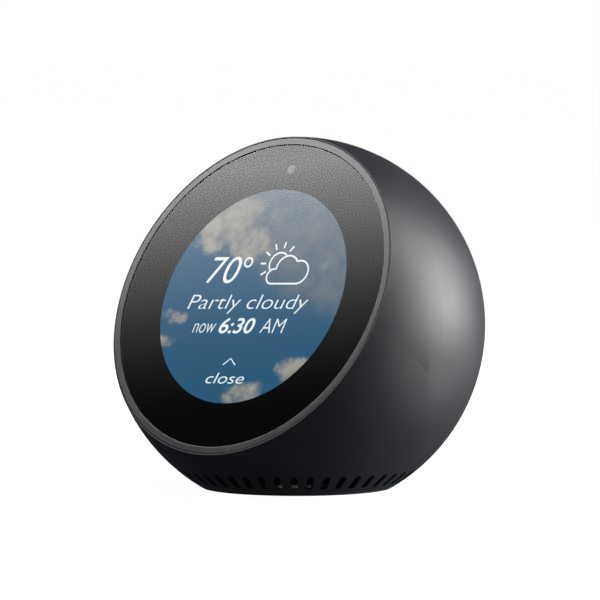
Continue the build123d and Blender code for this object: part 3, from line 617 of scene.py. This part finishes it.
def weather_icon():
    """A sun half behind a cloud."""
    stroke = 0.5
    left, middle, right = (5.4, 5.8, 2.2), (9.6, 8.2, 3.7), (14.0, 7.0, 3.4)
    base = left[1] - left[2]
    first, second = crossing(left, middle), crossing(middle, right)
    cloud = []
    for lobe, start, end in (
        (left, 3 * pi / 2, angle_to(left, first)),
        (middle, angle_to(middle, first), angle_to(middle, second)),
        (right, angle_to(right, second), -pi / 2),
    ):
        while start < end:
            start += 2 * pi
        cloud += circle(lobe[:2], lobe[2], start, end - start)
    cloud[-1] = (right[0], base)
    sun = (6.3, 9.6, 3.2)
    outlines = ribbon(cloud, stroke, closed=True)
    clearance = radians(7)  # keeps the sun's arc off the cloud's line
    arc_start = angle_to(sun, crossing(sun, middle)) + clearance
    arc_end = angle_to(sun, crossing(sun, left)) + 2 * pi - clearance
    outlines += ribbon(circle(sun[:2], sun[2], arc_start, arc_end - arc_start), stroke)
    ray_foot, ray_tip = sun[2] + 1.3, sun[2] + 3.2
    for angle in range(52, 213, 32):
        dx, dy = cos(radians(angle)), sin(radians(angle))
        foot = (sun[0] + dx * ray_foot, sun[1] + dy * ray_foot)
        tip = (sun[0] + dx * ray_tip, sun[1] + dy * ray_tip)
        outlines += line(*foot, *tip, stroke)
    return outlines


def words(text, left, right, baseline, height, weight, slant=0.2):
    """A slanted line of text, stretched to run from left to right, in millimetres."""
    drawing = bpy.data.curves.new("words", "FONT")
    drawing.body = text
    drawing.shear = slant
    drawing.offset = weight
    drawing.extrude = 0.5  # one unit thick, so that it scales to the layer's thickness
    cap_height = 0.729  # of the built-in letters, at a size of one
    piece = to_mesh("words", drawing, Matrix.Identity(4))
    xs = [v.co.x for v in piece.data.vertices]
    stretch = (right - left) / (max(xs) - min(xs)) * mm
    size = Vector((stretch, height / cap_height * mm, layer))
    place = Matrix.Translation(((left * mm) - min(xs) * stretch, baseline * mm, 0))
    stretched = place @ Matrix.Diagonal(size).to_4x4()
    piece.data.transform(face_matrix(drawing_level) @ drawing_turn @ stretched)
    return piece


drawing_level = lcd_front + 3 * layer
drawing_turn = Matrix.Rotation(radians(2.4), 4, "Z")  # the lines of text look level from the camera
degree = ribbon(circle((-4.6, 10.0), 1.3), 0.55, closed=True)
arrow = ribbon([(-3.9, -20.4), (-1.7, -18.5), (0.4, -20.4)], 0.35)
drawn = [
    flat_piece("shapes", weather_icon(), layer, drawing_level, drawing_turn),
    flat_piece("ring", degree, layer, drawing_level, drawing_turn),
    flat_piece("arrow", arrow, layer, drawing_level, drawing_turn),
    words("70", -18.1, -6.9, 3.8, 8.4, -0.006, 0.22),
    words("Partly cloudy", -22.3, 20.3, -3.9, 4.6, -0.013),
    words("now", -18.2, -10.2, -11.0, 4.6, -0.013),
    words("6:30", -8.8, 3.6, -11.0, 4.6, 0.012),
    words("AM", 5.9, 14.6, -11.0, 4.6, -0.013),
    words("close", -8.6, 4.9, -25.9, 3.4, -0.006),
]
dress(join("screen_graphics", drawn), lit_white())


# ================================================================ studio
view_azimuth = radians(40.56)
view_elevation = radians(3.37)
view_distance = 1.5079
view_back = Vector(
    (
        sin(view_azimuth) * cos(view_elevation),
        -cos(view_azimuth) * cos(view_elevation),
        sin(view_elevation),
    )
)
view_right = Vector((0, 0, 1)).cross(view_back).normalized()
view_up = view_back.cross(view_right)


def camera():
    """A long lens at the viewing angle, aimed a little above and right of the ball's centre."""
    aim_right = 0.83 * mm
    aim_up = 6.87 * mm
    focal_length = 327.5
    made = bpy.data.objects.new("camera", bpy.data.cameras.new("camera"))
    bpy.context.scene.collection.objects.link(made)
    bpy.context.scene.camera = made
    made.data.lens = focal_length
    aim = ball_centre + view_right * aim_right + view_up * aim_up
    made.location = aim + view_back * view_distance
    made.rotation_euler = Matrix((view_right, view_up, view_back)).transposed().to_euler()


def soft_box(name, azimuth, elevation, width, height, power):
    """A soft area lamp aimed at the ball, in degrees to the right of the camera and above it."""
    distance = 0.8
    right = sin(radians(azimuth)) * cos(radians(elevation))
    back = cos(radians(azimuth)) * cos(radians(elevation))
    direction = view_right * right + view_back * back + view_up * sin(radians(elevation))
    lamp = bpy.data.lights.new(name, "AREA")
    lamp.shape = "RECTANGLE"
    lamp.size = width
    lamp.size_y = height
    lamp.energy = power
    made = bpy.data.objects.new(name, lamp)
    bpy.context.scene.collection.objects.link(made)
    made.location = ball_centre + direction * distance
    made.rotation_euler = direction.to_track_quat("Z", "Y").to_euler()
    made.visible_camera = False


def backdrop_card():
    """A card that only reflections see. It fades downwards, which shades the front glass."""
    mirrored_back = 2 * face_normal.dot(view_back) * face_normal - view_back
    mirrored_up = view_up - 2 * view_up.dot(face_normal) * face_normal
    mirrored_right = view_right - 2 * view_right.dot(face_normal) * face_normal
    distance = 0.4
    half = 0.32
    fade_foot, fade_top = -0.048, 0.0443
    falloff = 2.8
    brightest, darkest = 5.4, 0.05
    lean = 0.1
    middle = on_face(0, 0, glass_back) + mirrored_back * distance
    corners = [(-1, -1), (1, -1), (1, 1), (-1, 1)]
    points = [middle + (mirrored_right * x + mirrored_up * y) * half for x, y in corners]
    mesh = bpy.data.meshes.new("reflection_card")
    mesh.from_pydata(points, [], [(0, 1, 2, 3)])
    card = bpy.data.objects.new("reflection_card", mesh)
    bpy.context.scene.collection.objects.link(card)
    card.visible_camera = False
    card.visible_diffuse = False
    card.visible_shadow = False
    shader = Shader("reflection_card")
    up = shader.along(mirrored_up - mirrored_right * lean, middle)
    level = shader.span(up, fade_foot, fade_top)
    fade = shader.math("MULTIPLY", shader.math("POWER", level, falloff), brightest)
    glow = shader.math("ADD", fade, darkest)
    light = shader.node("Emission", {"Color": (1, 1, 1), "Strength": glow}).outputs[0]
    shader.tree.links.new(light, shader.output.inputs[0])
    mesh.materials.append(shader.material)


def floor():
    """A plain pale floor, bright to the camera, dim in reflections and clear from below."""
    mesh = bpy.data.meshes.new("floor")
    half = 6.0
    gap = 0.05 * mm
    brightness = 0.97
    corners = [(-half, -half), (half, -half), (half, half), (-half, half)]
    mesh.from_pydata([(x, y, -gap) for x, y in corners], [], [(0, 1, 2, 3)])
    made = bpy.data.objects.new("floor", mesh)
    bpy.context.scene.collection.objects.link(made)
    made.visible_shadow = False  # the lamps reach below the floor's level
    shader = Shader("pale_floor")
    path = shader.node("LightPath")
    seen = path.outputs["Is Camera Ray"]
    paper = shader.mix(shader.noise(40, 4), (0.55, 0.55, 0.55), (0.58, 0.58, 0.58))
    diffuse = shader.node("BsdfDiffuse", {"Color": paper}).outputs[0]
    glow = shader.math("MULTIPLY", seen, brightness)
    light = shader.node("Emission", {"Color": (1, 1, 1), "Strength": glow}).outputs[0]
    lit = shader.node("AddShader", {0: diffuse, 1: light}).outputs[0]
    dim = shader.node("Emission", {"Color": (0.042, 0.046, 0.055), "Strength": 1.0}).outputs[0]
    above = shader.node("MixShader", {0: path.outputs["Is Glossy Ray"], 1: lit, 2: dim}).outputs[0]
    below = shader.node("BsdfTransparent").outputs[0]
    side = shader.node("NewGeometry").outputs["Backfacing"]
    whole = shader.node("MixShader", {0: side, 1: above, 2: below}).outputs[0]
    shader.tree.links.new(whole, shader.output.inputs[0])
    mesh.materials.append(shader.material)


def surroundings():
    """White to the camera, soft and dim to everything else."""
    world = bpy.data.worlds.new("studio")
    bpy.context.scene.world = world
    world.use_nodes = True
    tree = world.node_tree
    tree.nodes.clear()
    output = tree.nodes.new("ShaderNodeOutputWorld")
    path = tree.nodes.new("ShaderNodeLightPath")
    seen = tree.nodes.new("ShaderNodeBackground")
    seen.inputs["Color"].default_value = (1, 1, 1, 1)
    felt = tree.nodes.new("ShaderNodeBackground")
    felt.inputs["Color"].default_value = (0.8, 0.92, 1.15, 1)
    felt.inputs["Strength"].default_value = 0.05
    mixed = tree.nodes.new("ShaderNodeMixShader")
    tree.links.new(path.outputs["Is Camera Ray"], mixed.inputs[0])
    tree.links.new(felt.outputs[0], mixed.inputs[1])
    tree.links.new(seen.outputs[0], mixed.inputs[2])
    tree.links.new(mixed.outputs[0], output.inputs["Surface"])


camera()
soft_box("right_box", 99, 5, 0.5, 0.7, 14.5)
soft_box("upper_box", 85, 42, 0.4, 0.35, 3.0)
soft_box("low_box", -12, 2, 0.4, 0.12, 0.6)
backdrop_card()
floor()
surroundings()
bpy.context.scene.view_settings.view_transform = "Standard"
